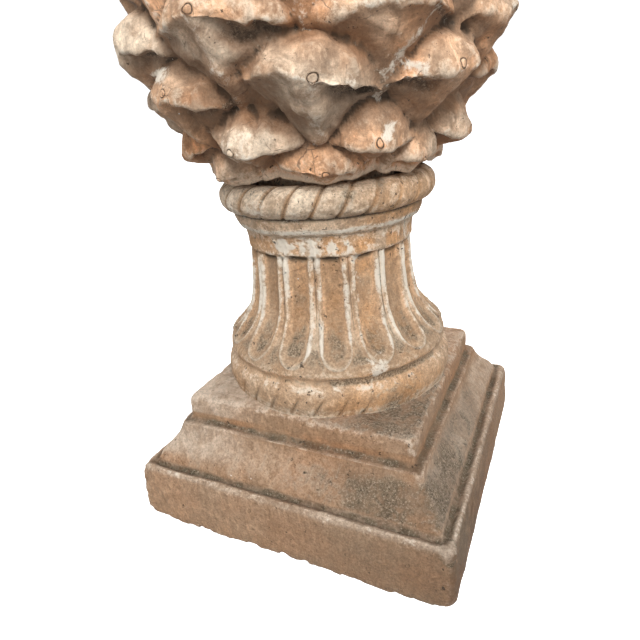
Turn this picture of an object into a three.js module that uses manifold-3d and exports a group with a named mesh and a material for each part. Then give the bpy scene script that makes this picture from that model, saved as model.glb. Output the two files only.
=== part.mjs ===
// A terracotta pinecone finial in two fired pieces: a pinecone, and the fluted pedestal that it rests on.
// Millimetres, +Z up. The origin is the middle of the underside; azimuth 0 is the front, -Y, and 90 is +X.
import * as THREE from "three";
import Module from "manifold-3d";

const wasm = await Module();
wasm.setup();

// Square base: slab, hollow moulding and plinth
const SLAB_HALF = 175;
const SLAB_HEIGHT = 66;
const SLAB_DRAFT = 1.5;
const SLAB_FOOT_ROUND = 4;
const ARRIS_ROUND = 3;
const MOULDING_FOOT_HALF = 159;
const MOULDING_HEAD_HALF = 135;
const MOULDING_HEIGHT = 46;
const MOULDING_HOLLOW = 3;
const MOULDING_STEPS = 4;
const PLINTH_HALF = 127.5;
const PLINTH_HEIGHT = 27;
const PLINTH_ROUND = 4;
const QUIRK_DEPTH = 4;
const QUIRK_WIDTH = 4.5;
const CORNER_ROUND = 9;
const CORNER_STEPS = 3;

// Roll at the foot of the column
const FOOT_ROLL_RADIUS = 126.5;
const FOOT_ROLL_FOOT_RADIUS = 124;
const FOOT_ROLL_HEIGHT = 34;
const FOOT_ROLL_SIDES = 40;
const FOOT_ROLL_STEPS = 4;
const FOOT_ROLL_ARC_DEG = 85;

// Fluted column with an ogee flare at its foot
const GROOVE_RADIUS = 113;
const GROOVE_HEIGHT = 4;
const COLUMN_FOOT_RADIUS = 122.5;
const FOOT_LIP_ROUND = 2;
const COLUMN_WAIST_RADIUS = 85;
const COLUMN_NECK_RADIUS = 89;
const COLUMN_HEIGHT = 136;
const FLARE_HEIGHT = 84;
const FLARE_SHOULDER = 17.5;
const FLARE_TUCK = 26.5;
const FLARE_STEPS = 80;
const NECK_HEIGHT = 24;
const FLUTES = 16;
const FLUTE_PHASE_DEG = 1.5;
const FLUTE_DEPTH = 4.5;
const FLUTE_FOOT_RISE = 15;
const FLUTE_ROUND_END = 17;
const FLUTE_LINES = [0, 0.06, 0.3, 0.65, 1, 2, 3.5];
const FLUTE_HALF_WIDTH = 0.7;
const RIB_QUIRK = 1.2;
const STEP_SPREAD = 0.5;

// Ring and rope roll at the head of the column, and the well on top
const RING_RADIUS = 98.5;
const RING_HEIGHT = 14;
const RING_ROUND = 5;
const ROPE_RADIUS = 111;
const ROPE_THICKNESS = 30;
const ROPE_STRANDS = 26;
const ROPE_QUIRK = 2.2;
const ROPE_LEAN_DEG = 11;
const ROPE_STEPS = 6;
const ROPE_UNDERCUT_DEG = 85;
const WELL_RADIUS = 84;
const WELL_DEPTH = 8;

// Pinecone
const CONE_HEIGHT = 405;
const CONE_RADIUS = 181;
const CONE_BELLY_HEIGHT = 142;
const CONE_LOWER_HALF_AXIS = 171;
const CONE_TAPER_POWER = 0.75;
const CONE_TIP_RADIUS = 16;
const CONE_FOOT_RADIUS = 70;
const HEM_RADIUS = 108;
const HEM_RISE = 9;
const SCALES_PER_ROW = 8;
const LOW_ROW_HEIGHTS = [13, 33, 82, 127];
const ROW_PITCH = 47;
const ROW_PITCH_SHRINK = 0.5;
const SCALE_RELIEF = 36;
const CORNER_SHARE = 0.42;
const CORNER_DROOP = 0.3;
const BROW_POWER = 1.5;
const FACE_REACH = 0.66;
const LOW_FACE_REACH = 0.46;
const FACE_ARCH_POWER = 2.8;
const FACE_DOME_POWER = 2.1;
const UNDERSIDE_REACH = 1.75;
const UNDERSIDE_VEE_POWER = 0.9;
const UNDERSIDE_HOLLOW_POWER = 1.75;
const KEEL_SHARPNESS = 0.75;
const KEEL_HALF_WIDTH = 0.16;
const COLUMNS_PER_SCALE = 6;
const LINES_PER_ROW = 4;

// Small bevels, the depth that joined shapes of one casting share, and the gap where the two pieces touch
const BEVEL = 1;
const SHARED_DEPTH = 2;
const REST_GAP = 0.3;

// Heights that follow from the sizes above
const mouldingFoot = SLAB_HEIGHT + QUIRK_WIDTH / 2;
const mouldingHead = mouldingFoot + MOULDING_HEIGHT;
const plinthFoot = mouldingHead + QUIRK_WIDTH / 4;
const plinthTop = plinthFoot + PLINTH_HEIGHT;
const footRollTop = plinthTop + FOOT_ROLL_HEIGHT;
const columnFoot = footRollTop + GROOVE_HEIGHT;
const columnTop = columnFoot + COLUMN_HEIGHT;
const fluteFoot = columnFoot + FLUTE_FOOT_RISE;
const neckFoot = columnTop - NECK_HEIGHT;
const ringTop = columnTop + RING_HEIGHT;
const ropeTop = ringTop + ROPE_THICKNESS;
const wellFloor = ropeTop - WELL_DEPTH;
const coneFoot = wellFloor + REST_GAP;
const coneTop = coneFoot + CONE_HEIGHT;
const coneBelly = coneFoot + CONE_BELLY_HEIGHT;

const FULL_TURN = 2 * Math.PI;
const radians = THREE.MathUtils.degToRad;
const { clamp, lerp, smoothstep } = THREE.MathUtils;
const point = (x, y) => new THREE.Vector2(x, y);
const evenly = (count) => Array.from({ length: count }, (_, i) => (i / count) * FULL_TURN);

// The point at an azimuth and a radius from the axis.
function onCircle(azimuth, radius, height) {
  return new THREE.Vector3(radius * Math.sin(azimuth), -radius * Math.cos(azimuth), height);
}

// An azimuth's distance from the nearest of some equal marks, in shares of half their pitch, from -1 to 1.
function fromNearestMark(azimuth, marks, phase) {
  const turns = ((azimuth - phase) / FULL_TURN) * marks;
  return 2 * (turns - Math.round(turns));
}

// A closed solid whose skin runs from its foot on the axis to its head on the axis. surface gives the
// point on an azimuth and a line, and each patch is split along the diagonal that lies closer to it.
function skinned(azimuths, lines, surface) {
  const sides = azimuths.length;
  const places = [surface(0, 0)];
  for (let line = 1; line < lines - 1; line += 1) {
    places.push(...azimuths.map((azimuth) => surface(azimuth, line)));
  }
  places.push(surface(0, lines - 1));
  const at = (side, line) => {
    if (line === 0) return 0;
    if (line === lines - 1) return places.length - 1;
    return 1 + (line - 1) * sides + (side % sides);
  };
  const corners = [];
  for (let side = 0; side < sides; side += 1) {
    const next = side + 1 < sides ? azimuths[side + 1] : azimuths[0] + FULL_TURN;
    corners.push(at(side, 0), at(side + 1, 1), at(side, 1));
    for (let line = 1; line < lines - 2; line += 1) {
      const [a, b] = [at(side, line), at(side + 1, line)];
      const [c, d] = [at(side + 1, line + 1), at(side, line + 1)];
      const middle = surface((azimuths[side] + next) / 2, line + 0.5);
      const rising = places[a].clone().lerp(places[c], 0.5).distanceTo(middle);
      const falling = places[b].clone().lerp(places[d], 0.5).distanceTo(middle);
      corners.push(...(rising <= falling + 1e-6 ? [a, b, c, a, c, d] : [a, b, d, b, c, d]));
    }
    corners.push(at(side, lines - 2), at(side + 1, lines - 2), at(side, lines - 1));
  }
  return new wasm.Manifold(new wasm.Mesh({
    numProp: 3,
    vertProperties: new Float32Array(places.flatMap((place) => place.toArray())),
    triVerts: new Uint32Array(corners),
  }));
}

// A profile of (radius, height) turned round the axis, with shape to place each of its points.
function turned(profile, azimuths, shape) {
  return skinned(azimuths, profile.length, (azimuth, line) => {
    const below = profile[Math.floor(line)];
    const above = profile[Math.ceil(line)];
    const { x: radius, y: height } = below.clone().lerp(above, line - Math.floor(line));
    return shape(azimuth, radius, height);
  });
}

// Points of an arc in the plane of a profile, squashed along its radius.
function arc(x, y, radius, fromDeg, toDeg, steps, squash = 1) {
  return Array.from({ length: steps + 1 }, (_, i) => {
    const angle = radians(lerp(fromDeg, toDeg, i / steps));
    return point(x + radius * squash * Math.cos(angle), y + radius * Math.sin(angle));
  });
}

// The square base: one moulded profile run round a square with rounded corners.
function squareBase() {
  const footHalf = SLAB_HALF + SLAB_DRAFT;
  const hollow = new THREE.QuadraticBezierCurve(
    point(MOULDING_FOOT_HALF, mouldingFoot + QUIRK_WIDTH),
    point(
      (MOULDING_FOOT_HALF + MOULDING_HEAD_HALF) / 2 - 2 * MOULDING_HOLLOW,
      (mouldingFoot + mouldingHead) / 2 - MOULDING_HOLLOW,
    ),
    point(MOULDING_HEAD_HALF, mouldingHead - ARRIS_ROUND),
  );
  const profile = [
    point(0, 0),
    point(footHalf - SLAB_FOOT_ROUND, 0),
    point(footHalf, 2 * SLAB_FOOT_ROUND),
    point(SLAB_HALF, SLAB_HEIGHT - ARRIS_ROUND),
    point(SLAB_HALF - ARRIS_ROUND, SLAB_HEIGHT + ARRIS_ROUND / 2),
    point(MOULDING_FOOT_HALF + 2 * QUIRK_WIDTH, SLAB_HEIGHT + ARRIS_ROUND),
    point(MOULDING_FOOT_HALF + QUIRK_WIDTH, SLAB_HEIGHT - QUIRK_DEPTH / 2),
    point(MOULDING_FOOT_HALF + BEVEL, mouldingFoot + BEVEL),
    ...hollow.getPoints(MOULDING_STEPS),
    point(MOULDING_HEAD_HALF - ARRIS_ROUND, mouldingHead),
    point(PLINTH_HALF, mouldingHead - QUIRK_DEPTH / 2),
    point(PLINTH_HALF, plinthFoot + BEVEL),
    point(PLINTH_HALF - BEVEL, plinthTop - PLINTH_ROUND),
    point(PLINTH_HALF - BEVEL - PLINTH_ROUND, plinthTop),
    point(0, plinthTop),
  ];
  const quarter = Array.from({ length: CORNER_STEPS + 1 }, (_, i) => i / CORNER_STEPS);
  const swings = [0, 1, 2, 3].flatMap((corner) => {
    return quarter.map((swing) => ((corner + swing / 2) * Math.PI) / 2);
  });
  return turned(profile, swings, (azimuth, half, height) => {
    const round = Math.min(CORNER_ROUND, half / 2);
    const quarters = azimuth / (Math.PI / 2);
    const corner = Math.floor(quarters + 1e-9);
    const swing = corner + Math.min(1, 2 * (quarters - corner));
    const middle = onCircle(((corner + 0.5) * Math.PI) / 2, (half - round) * Math.SQRT2, height);
    return middle.add(onCircle((swing * Math.PI) / 2, round, 0));
  });
}

// The plain roll that the column stands on: upright below, and rounded over into the groove above.
function footRoll() {
  const bulge = FOOT_ROLL_RADIUS - GROOVE_RADIUS;
  const half = FOOT_ROLL_HEIGHT / 2;
  const profile = [
    point(0, plinthTop - PLINTH_ROUND),
    point(FOOT_ROLL_FOOT_RADIUS, plinthTop - PLINTH_ROUND),
    point(FOOT_ROLL_FOOT_RADIUS, plinthTop),
    ...arc(GROOVE_RADIUS, plinthTop + half, half, 0, FOOT_ROLL_ARC_DEG, FOOT_ROLL_STEPS, bulge / half),
    point(0, footRollTop),
  ];
  return turned(profile, evenly(FOOT_ROLL_SIDES), onCircle);
}

// The column's bare outline between its foot and its neck.
const flare = new THREE.CubicBezierCurve(
  point(COLUMN_FOOT_RADIUS, columnFoot + FOOT_LIP_ROUND),
  point(COLUMN_FOOT_RADIUS, columnFoot + FLARE_SHOULDER),
  point(COLUMN_WAIST_RADIUS, columnFoot + FLARE_TUCK),
  point(COLUMN_WAIST_RADIUS, columnFoot + FLARE_HEIGHT),
).getPoints(FLARE_STEPS);

function columnRadius(height) {
  const above = flare.findIndex((place) => place.y > height);
  if (above < 0) return COLUMN_WAIST_RADIUS;
  if (above === 0) return COLUMN_FOOT_RADIUS;
  const [low, high] = [flare[above - 1], flare[above]];
  return lerp(low.x, high.x, (height - low.y) / (high.y - low.y));
}

// How far a flute or the quirk between two flutes cuts into the column at one place.
function fluteCut(azimuth, height) {
  if (height <= fluteFoot || height >= neckFoot) return 0;
  const across = Math.abs(fromNearestMark(azimuth, FLUTES, radians(FLUTE_PHASE_DEG)));
  const rise = Math.min(1, (height - fluteFoot) / FLUTE_ROUND_END);
  const width = FLUTE_HALF_WIDTH * Math.sqrt(1 - (1 - rise) ** 2);
  if (across < width) return FLUTE_DEPTH * Math.sqrt(1 - (across / width) ** 2);
  return RIB_QUIRK * rise * smoothstep(across, FLUTE_HALF_WIDTH, 1);
}

// The fluted column with the ring that closes its head.
function column() {
  const fluteLines = FLUTE_LINES.map((rise) => fluteFoot + rise * FLUTE_ROUND_END);
  const lines = [columnFoot + FLUTE_FOOT_RISE / 2, ...fluteLines, neckFoot - STEP_SPREAD];
  const profile = [
    point(0, plinthTop),
    point(GROOVE_RADIUS - BEVEL, plinthTop),
    point(GROOVE_RADIUS - BEVEL, columnFoot),
    point(COLUMN_FOOT_RADIUS, columnFoot + FOOT_LIP_ROUND),
    ...lines.map((height) => point(columnRadius(height), height)),
    point((COLUMN_WAIST_RADIUS + COLUMN_NECK_RADIUS) / 2, neckFoot + STEP_SPREAD),
    point(COLUMN_NECK_RADIUS, columnTop),
    point(RING_RADIUS - RING_ROUND, columnTop),
    point(RING_RADIUS, columnTop + RING_ROUND),
    point(RING_RADIUS, ringTop + SHARED_DEPTH / 2),
    point(0, ringTop + SHARED_DEPTH / 2),
  ];
  const across = [-FLUTE_HALF_WIDTH, -FLUTE_HALF_WIDTH / 2, FLUTE_HALF_WIDTH / 2, FLUTE_HALF_WIDTH, 1];
  const azimuths = evenly(FLUTES).flatMap((middle) =>
    across.map((share) => middle + radians(FLUTE_PHASE_DEG) + (share * Math.PI) / FLUTES),
  );
  return turned(profile, azimuths, (azimuth, radius, height) => {
    return onCircle(azimuth, radius - fluteCut(azimuth, height), height);
  });
}

// The twisted rope roll, sunk on top into the well that holds the pinecone's foot.
function ropeRoll() {
  const half = ROPE_THICKNESS / 2;
  const core = ROPE_RADIUS - half;
  const profile = [
    point(0, ringTop - SHARED_DEPTH),
    point(core - SHARED_DEPTH, ringTop - SHARED_DEPTH),
    ...arc(core, ringTop + half, half, -ROPE_UNDERCUT_DEG, 90, ROPE_STEPS),
    point(WELL_RADIUS, wellFloor + BEVEL),
    point(WELL_RADIUS - BEVEL, wellFloor),
    point(0, wellFloor),
  ];
  return turned(profile, evenly(2 * ROPE_STRANDS), (azimuth, radius, height) => {
    const rise = clamp((height - ringTop) / ROPE_THICKNESS, 0, 1);
    const groove = 1 - Math.abs(fromNearestMark(azimuth, ROPE_STRANDS, 0));
    const cut = radius > core ? ROPE_QUIRK * groove : 0;
    return onCircle(azimuth + radians(ROPE_LEAN_DEG) * rise, radius - cut, height);
  });
}

function pedestal() {
  return squareBase().add(footRoll()).add(column()).add(ropeRoll());
}

// The oval that the tips of the scales touch, as a radius at a height.
function ovalRadius(height) {
  const rise = height - coneBelly;
  if (rise < 0) return CONE_RADIUS * Math.sqrt(1 - (rise / CONE_LOWER_HALF_AXIS) ** 2);
  const share = Math.min(1, rise / (coneTop - coneBelly));
  return CONE_RADIUS * (1 - share ** 2) ** CONE_TAPER_POWER;
}

// The heights of the rows of scales: past the crowded low ones, steps along the oval that shrink upwards.
function rowHeights() {
  const heights = LOW_ROW_HEIGHTS.map((rise) => coneFoot + rise);
  let height = heights.at(-1);
  let walked = 0;
  while (height < coneBelly || ovalRadius(height) > CONE_TIP_RADIUS) {
    walked += Math.hypot(1, ovalRadius(height + 1) - ovalRadius(height));
    height += 1;
    const pitch = ROW_PITCH * (1 - ROW_PITCH_SHRINK * (1 - ovalRadius(height) / CONE_RADIUS));
    if (walked >= pitch) {
      heights.push(height);
      walked = 0;
    }
  }
  return heights;
}

const rows = rowHeights();

// The height on the oval of a place between rows, where row 1 is the lowest.
function heightAt(place) {
  const below = clamp(Math.floor(place) - 1, 0, rows.length - 2);
  return lerp(rows[below], rows[below + 1], place - 1 - below);
}

// The height of a rounded outline that is 1 high in the middle and 0 at its sides.
function arched(side, power) {
  return Math.max(1 - side ** power, 1e-6) ** (1 / power);
}

// An azimuth's distance from the middle of a row's nearest scale, from 0 to 1 at its corner. Every other row
// is turned by half a scale.
function fromScale(azimuth, row) {
  const phase = row % 2 ? Math.PI / SCALES_PER_ROW : 0;
  return Math.abs(fromNearestMark(azimuth, SCALES_PER_ROW, phase));
}

// How far below its tip a scale's brow runs, in rows. The lowest scales sit level over the rope roll.
function browDroop(side, row) {
  return row > 1 ? CORNER_DROOP * side ** BROW_POWER : 0;
}

// How far one scale stands out, from 0 at its rim to 1 at its tip. Its brow runs from corner to corner through
// the tip. Above the brow is a domed face with an arched top. Below it the underside is hollow on each side
// of a keel, and narrows between the next row's scales.
function scaleForm(side, up, row) {
  const brow = 1 - (1 - CORNER_SHARE) * side ** BROW_POWER;
  if (up > 0) {
    const reach = row > 2 ? FACE_REACH : LOW_FACE_REACH;
    const share = Math.min(1, up / (reach * arched(side, FACE_ARCH_POWER)));
    return brow * (1 - share ** FACE_DOME_POWER);
  }
  const share = Math.min(1, -up / (UNDERSIDE_REACH * arched(side, UNDERSIDE_VEE_POWER)));
  const keel = Math.exp(-((side / KEEL_HALF_WIDTH) ** 2));
  return brow * (1 - share) ** (UNDERSIDE_HOLLOW_POWER - KEEL_SHARPNESS * keel);
}

// The scales overlap, so the one that stands out furthest shows.
function coneForm(azimuth, place) {
  let most = 0;
  const nearest = Math.round(place);
  for (let row = Math.max(1, nearest - 2); row <= Math.min(rows.length, nearest + 2); row += 1) {
    const side = fromScale(azimuth, row);
    most = Math.max(most, scaleForm(side, place - row + browDroop(side, row), row));
  }
  return most;
}

// A place between two rows moved down with the brows of both, so that lines of points run along the brows.
function alongBrows(azimuth, place) {
  const row = Math.floor(place);
  const droops = [row, row + 1].map((either) => browDroop(fromScale(azimuth, either), either));
  return place - lerp(...droops, place - row);
}

// The carved surface: the oval, sunk between the tips along its own normal.
function coneSurface(azimuth, place) {
  const height = heightAt(place);
  const radius = ovalRadius(height);
  const slope = ovalRadius(height + 0.5) - ovalRadius(height - 0.5);
  const inward = point(-1, slope > 0 ? slope : slope / 2).normalize();
  const sink = SCALE_RELIEF * Math.sqrt(radius / CONE_RADIUS) * (1 - coneForm(azimuth, place));
  return onCircle(azimuth, radius + inward.x * sink, height + inward.y * sink);
}

function pinecone() {
  const lines = (rows.length - 1) * LINES_PER_ROW + 1;
  const hem = ropeTop + REST_GAP;
  const foot = [
    () => onCircle(0, 0, coneFoot),
    (azimuth) => onCircle(azimuth, CONE_FOOT_RADIUS, coneFoot),
    (azimuth) => onCircle(azimuth, CONE_FOOT_RADIUS, hem + HEM_RISE),
    (azimuth) => {
      const droop = coneForm(azimuth, 1) * HEM_RISE;
      return onCircle(azimuth, HEM_RADIUS - HEM_RISE + droop, hem + HEM_RISE - droop);
    },
  ];
  return skinned(evenly(SCALES_PER_ROW * COLUMNS_PER_SCALE), foot.length + lines + 1, (azimuth, line) => {
    const place = 1 + (line - foot.length) / LINES_PER_ROW;
    if (place > rows.length) return onCircle(0, 0, coneTop);
    return place < 1 ? foot[Math.floor(line)](azimuth) : coneSurface(azimuth, alongBrows(azimuth, place));
  });
}

function fired(name, solid, colour, roughness) {
  const mesh = solid.getMesh();
  const geometry = new THREE.BufferGeometry();
  geometry.setAttribute("position", new THREE.BufferAttribute(new Float32Array(mesh.vertProperties), 3));
  geometry.setIndex(new THREE.BufferAttribute(new Uint32Array(mesh.triVerts), 1));
  geometry.computeVertexNormals();
  const clay = new THREE.MeshStandardMaterial({ color: colour, roughness, metalness: 0, flatShading: true });
  const piece = new THREE.Mesh(geometry, clay);
  piece.name = name;
  return piece;
}

const finial = new THREE.Group();
finial.add(fired("pedestal", pedestal(), 0xb98d6f, 0.92));
finial.add(fired("pinecone", pinecone(), 0xc39e86, 0.9));

export default finial;
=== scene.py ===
"""A weathered terracotta pinecone finial: a pinecone of overlapping scales on a fluted pedestal.

Metres, +Z up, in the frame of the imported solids. Azimuth 0 is the front, -Y, and a quarter turn is +X.
"""
import math

import bpy
import numpy as np
from mathutils import Matrix, Vector, noise
from mathutils.bvhtree import BVHTree
from mathutils.kdtree import KDTree


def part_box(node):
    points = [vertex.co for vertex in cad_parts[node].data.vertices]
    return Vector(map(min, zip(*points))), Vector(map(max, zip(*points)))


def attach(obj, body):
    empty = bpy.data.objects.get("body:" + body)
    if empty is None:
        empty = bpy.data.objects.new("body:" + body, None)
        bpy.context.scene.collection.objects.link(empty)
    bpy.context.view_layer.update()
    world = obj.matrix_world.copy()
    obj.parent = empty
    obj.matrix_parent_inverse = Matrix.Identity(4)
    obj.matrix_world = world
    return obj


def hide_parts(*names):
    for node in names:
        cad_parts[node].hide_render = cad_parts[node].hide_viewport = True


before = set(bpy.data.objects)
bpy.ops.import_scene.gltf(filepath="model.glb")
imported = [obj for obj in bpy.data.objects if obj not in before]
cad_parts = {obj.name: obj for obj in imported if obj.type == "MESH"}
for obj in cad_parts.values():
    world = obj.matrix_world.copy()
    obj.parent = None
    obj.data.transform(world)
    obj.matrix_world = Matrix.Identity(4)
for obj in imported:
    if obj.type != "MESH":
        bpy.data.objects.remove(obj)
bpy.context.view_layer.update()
pedestal_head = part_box("pedestal")[1]
cone_foot, cone_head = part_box("pinecone")

# Camera: where the photograph was taken from, as the fitted view of the square base and the round mouldings
EYE = Vector((0.2282, -0.4902, 0.4240))
LOOK_AZIMUTH = math.radians(26.96)
LOOK_DOWN = math.radians(23.07)
LOOK_ROLL = math.radians(4.98)
FOCAL_PIXELS = 507.7
FRAME_PIXELS = 640
SENSOR_MM = 36

# Studio
FLOOR_RADIUS = 30
SKY_COLOURS = [(1.0, 1.0, 1.0), (0.40, 0.41, 0.42)]
SKY_STRENGTH = 1.14
GROUND_STRENGTH = 0.28
LAMP_AIM = Vector((0, 0, 0.3))

# Square base, as the halves and heights of its outline from the underside to the plinth's top
BASE_OUTLINE = [
    (0.1700, 0.0000), (0.1737, 0.0015), (0.1757, 0.0060), (0.1762, 0.0130), (0.1762, 0.0220),
    (0.1755, 0.0360), (0.1746, 0.0510), (0.1738, 0.0600), (0.1727, 0.0665), (0.1700, 0.0698),
    (0.1672, 0.0700), (0.1655, 0.0688), (0.1636, 0.0668), (0.1614, 0.0660), (0.1598, 0.0676),
    (0.1596, 0.0730), (0.1578, 0.0775), (0.1540, 0.0835), (0.1470, 0.0905), (0.1407, 0.0980),
    (0.1373, 0.1060), (0.1358, 0.1104), (0.1343, 0.1126), (0.1322, 0.1130), (0.1300, 0.1120),
    (0.1281, 0.1120), (0.1273, 0.1160), (0.1276, 0.1240), (0.1272, 0.1335), (0.1264, 0.1388),
    (0.1237, 0.1415), (0.1200, 0.1424),
]
BASE_HALF = 0.1762
BASE_CORNER = 0.0048
BASE_VOXEL = 0.0022
SLAB_TOP = 0.070
PLINTH_SEAM = (0.1305, 0.1125)
SLAB_SEAM = (0.1625, 0.0670)
FOOT_ROUND = 0.014
FOOT_CHIPS = 0.0075
FOOT_WEAR = 0.0025
CORNER_LUMP = (0.168, -0.168, 0.066)
CORNER_LUMP_RISE = 0.0018
BASE_SWAY = 0.0014
BASE_LUMPS = 0.0010
BASE_WAVER = 0.0012
ARRIS_WEAR = 0.003

# Column, as the radii and heights of its outline from inside the plinth to inside the ring
COLUMN_OUTLINE = [
    (0.1228, 0.1385), (0.1238, 0.1430), (0.1253, 0.1490), (0.1263, 0.1560), (0.1262, 0.1620),
    (0.1248, 0.1676), (0.1224, 0.1712), (0.1203, 0.1738), (0.1190, 0.1760), (0.1186, 0.1783),
    (0.1193, 0.1806), (0.1206, 0.1830), (0.1214, 0.1856), (0.1208, 0.1890),
    (0.1167, 0.1965), (0.1085, 0.2050), (0.0980, 0.2175), (0.0910, 0.2315), (0.0872, 0.2490),
    (0.0855, 0.2660), (0.0846, 0.2840), (0.0846, 0.2916), (0.0866, 0.2930), (0.0872, 0.3000),
    (0.0878, 0.3060), (0.0892, 0.3140), (0.0898, 0.3165),
]
COLUMN_SIDES = 512
COLUMN_STEP = 0.0014
ROLL_FOOT = 0.142
ROLL_RADIUS = 0.126
ROLL_STROKES = 32
ROLL_STROKE_LEAN = 0.6
ROLL_STROKE_WIDTH = 0.0019
ROLL_STROKE_DEPTH = 0.0016
FLUTES = 16
FLUTE_PHASE = math.radians(1.5)
FLUTE_FOOT = 0.1935
FLUTE_HEAD = 0.2918
FLUTE_END = 0.021
FLUTE_SHARE = 0.63
FLUTE_DEPTH = 0.0046
RIM_WIDTH = 0.0054
RIM_RISE = 0.0016
INCISION = 0.0016
INCISION_WIDTH = 0.0011
DART_DEPTH = 0.0022

# Collar: the ring, the rope roll and the well that the pinecone rests in
RING_OUTLINE = [
    (0.0885, 0.3128), (0.0912, 0.3140), (0.0936, 0.3158), (0.0953, 0.3185), (0.0968, 0.3220),
    (0.0980, 0.3260), (0.0983, 0.3286), (0.0975, 0.3302),
]
ROPE_MIDDLE_RADIUS = 0.0958
ROPE_HALF = 0.0149
ROPE_STRANDS = 26
ROPE_LEAN = math.radians(11)
ROPE_GROOVE = 0.0019
ROPE_GROOVE_WIDTH = 0.0019
STRAND_HALF = 0.0134
STRAND_ROUNDING = 0.0003
WELL_RADIUS = 0.084
WELL_DEPTH = 0.008
WELL_LIP = [(0.0875, 0.3583), (0.0850, 0.3553)]
COLLAR_SIDES = 520
COLLAR_STEP = 0.0014

# Pinecone: the oval that its scales touch, and the rows that they sit in
CONE_RADIUS = 0.1795
BELLY_RISE = 0.142
LOWER_HALF_AXIS = 0.171
TAPER_POWER = 0.75
CONE_TIP_RADIUS = 0.016
CONE_NECK_RADIUS = 0.070
HEM_RADIUS = 0.108
HEM_RISE = 0.009
HEM_PLACE = 0.7
SCALES_PER_ROW = 8
LOW_ROWS = [0.013, 0.033, 0.082, 0.127]
ROW_PITCH = 0.047
ROW_PITCH_SHRINK = 0.5
CONE_SIDES = 432
CONE_STEP = 0.0023
SCALE_RELIEF = 0.036
SCALE_LIP = 0.006
CORNER_SHARE = 0.42
CREASE_DEPTH = 0.0010
CONE_LUMPS = 0.0034
CONE_BUMPS = 0.0018
THUMB_MARKS = 0.0022
PINCHES = 0.0050
RING_RADIUS = 0.0038
RING_CLEAR = 0.0014

# The ring cut round each scale's tip: shares of its radius, and heights over the skin
RING_OUTLINE_SHARES = [
    (0.0, 0.0008), (0.5, 0.0009), (0.8, 0.0009), (0.92, 0.0002), (1.08, 0.0002), (1.22, 0.0008),
    (1.6, -0.0008),
]

# Rounds of easing that show the finest relief, and the seed of all that is random
FINE_ROUNDS = 6
SEED = 11


# Blender's own steps

def select_none():
    bpy.ops.object.select_all(action="DESELECT")


def only(piece):
    """Selects one piece alone and makes it active."""
    select_none()
    piece.select_set(True)
    bpy.context.view_layer.objects.active = piece


def edit(select):
    """Goes into edit mode, ready to pick vertices, edges or faces."""
    bpy.ops.object.mode_set(mode="EDIT")
    bpy.ops.mesh.select_mode(type=select)


def faces_out():
    """Turns all faces of the piece in hand outwards, and leaves edit mode."""
    bpy.ops.mesh.select_all(action="SELECT")
    bpy.ops.mesh.normals_make_consistent(inside=False)
    bpy.ops.object.mode_set(mode="OBJECT")


def threes(items, name):
    """Rows of three numbers, one row for each vertex."""
    values = np.empty(len(items) * 3, np.float32)
    items.foreach_get(name, values)
    return values.reshape(-1, 3).astype(float)


def places_of(piece):
    return threes(piece.data.vertices, "co")


def normals_of(piece):
    return threes(piece.data.vertex_normals, "vector")


def place_all(piece, places):
    piece.data.vertices.foreach_set("co", places.astype(np.float32).ravel())
    piece.data.update()


def mark(piece, name, *values):
    """Writes one number per vertex for the clay to read, the largest where several are given."""
    attribute = piece.data.attributes.new(name, "FLOAT", "POINT")
    attribute.data.foreach_set("value", np.maximum.reduce(values).astype(np.float32))


def clouds(places, size, kind, octaves):
    """Smooth noise at places, from about -1 to 1, whose lumps are about size across. Each kind is its own."""
    seed = SEED + kind
    shift = Vector((seed * 7.31, seed * 3.77, seed * 5.13))
    return np.array([
        noise.fractal(Vector(place) / size + shift, 1.0, 2.0, octaves, noise_basis="PERLIN_ORIGINAL")
        for place in places
    ])


def ease(value, low, high):
    """A mask that goes smoothly from 0 at low to 1 at high. Where low is the greater, it falls."""
    share = np.clip((value - low) / (high - low), 0, 1)
    return share * share * (3 - 2 * share)


def patches(places, size, kind, octaves, low, high):
    """A mask of one kind of noise, from 0 where it is low to 1 where it is high."""
    return ease(clouds(places, size, kind, octaves), low, high)


def close_to(values, middle, wide, narrow):
    """A mask that is 0 where values are wide of a middle, and 1 where they are within a narrow reach."""
    return ease(np.abs(values - middle), wide, narrow)


def span(values, start, full, bend, end):
    """A mask that rises from start to full, and falls again from bend to end."""
    return ease(values, start, full) * ease(values, end, bend)


def bell(distance, width):
    return np.exp(-((distance / width) ** 2))


def azimuth_of(places):
    return np.arctan2(places[:, 0], -places[:, 1])


def turn_between(azimuth, other):
    """The shortest turn from other to azimuth."""
    return (azimuth - other + math.pi) % (2 * math.pi) - math.pi


def degrees_from(azimuth, degrees):
    """How many degrees azimuths are away from a direction given in degrees."""
    return np.abs(np.degrees(turn_between(azimuth, math.radians(degrees))))


def on_circle(azimuth, radius, height):
    return np.column_stack((radius * np.sin(azimuth), -radius * np.cos(azimuth), height))


def evened(outline, step):
    """An outline as a smooth run of points about a step apart."""
    points = np.array(outline, float)
    along = np.concatenate(([0], np.cumsum(np.hypot(*np.diff(points, axis=0).T))))
    slopes = np.gradient(points, along, axis=0)
    places = np.linspace(0, along[-1], int(along[-1] / step) + 1)
    at = np.clip(np.searchsorted(along, places) - 1, 0, len(along) - 2)
    gap = (along[at + 1] - along[at])[:, None]
    share = ((places - along[at])[:, None]) / gap
    return (
        points[at] * (1 + 2 * share) * (1 - share) ** 2
        + slopes[at] * gap * share * (1 - share) ** 2
        + points[at + 1] * share**2 * (3 - 2 * share)
        + slopes[at + 1] * gap * share**2 * (share - 1)
    )


def closed(outline, dip=0.0):
    """An outline that starts and ends on the axis; the start may dip."""
    return [(0, outline[0][1] - dip), *map(tuple, outline), (0, outline[-1][1])]


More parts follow.
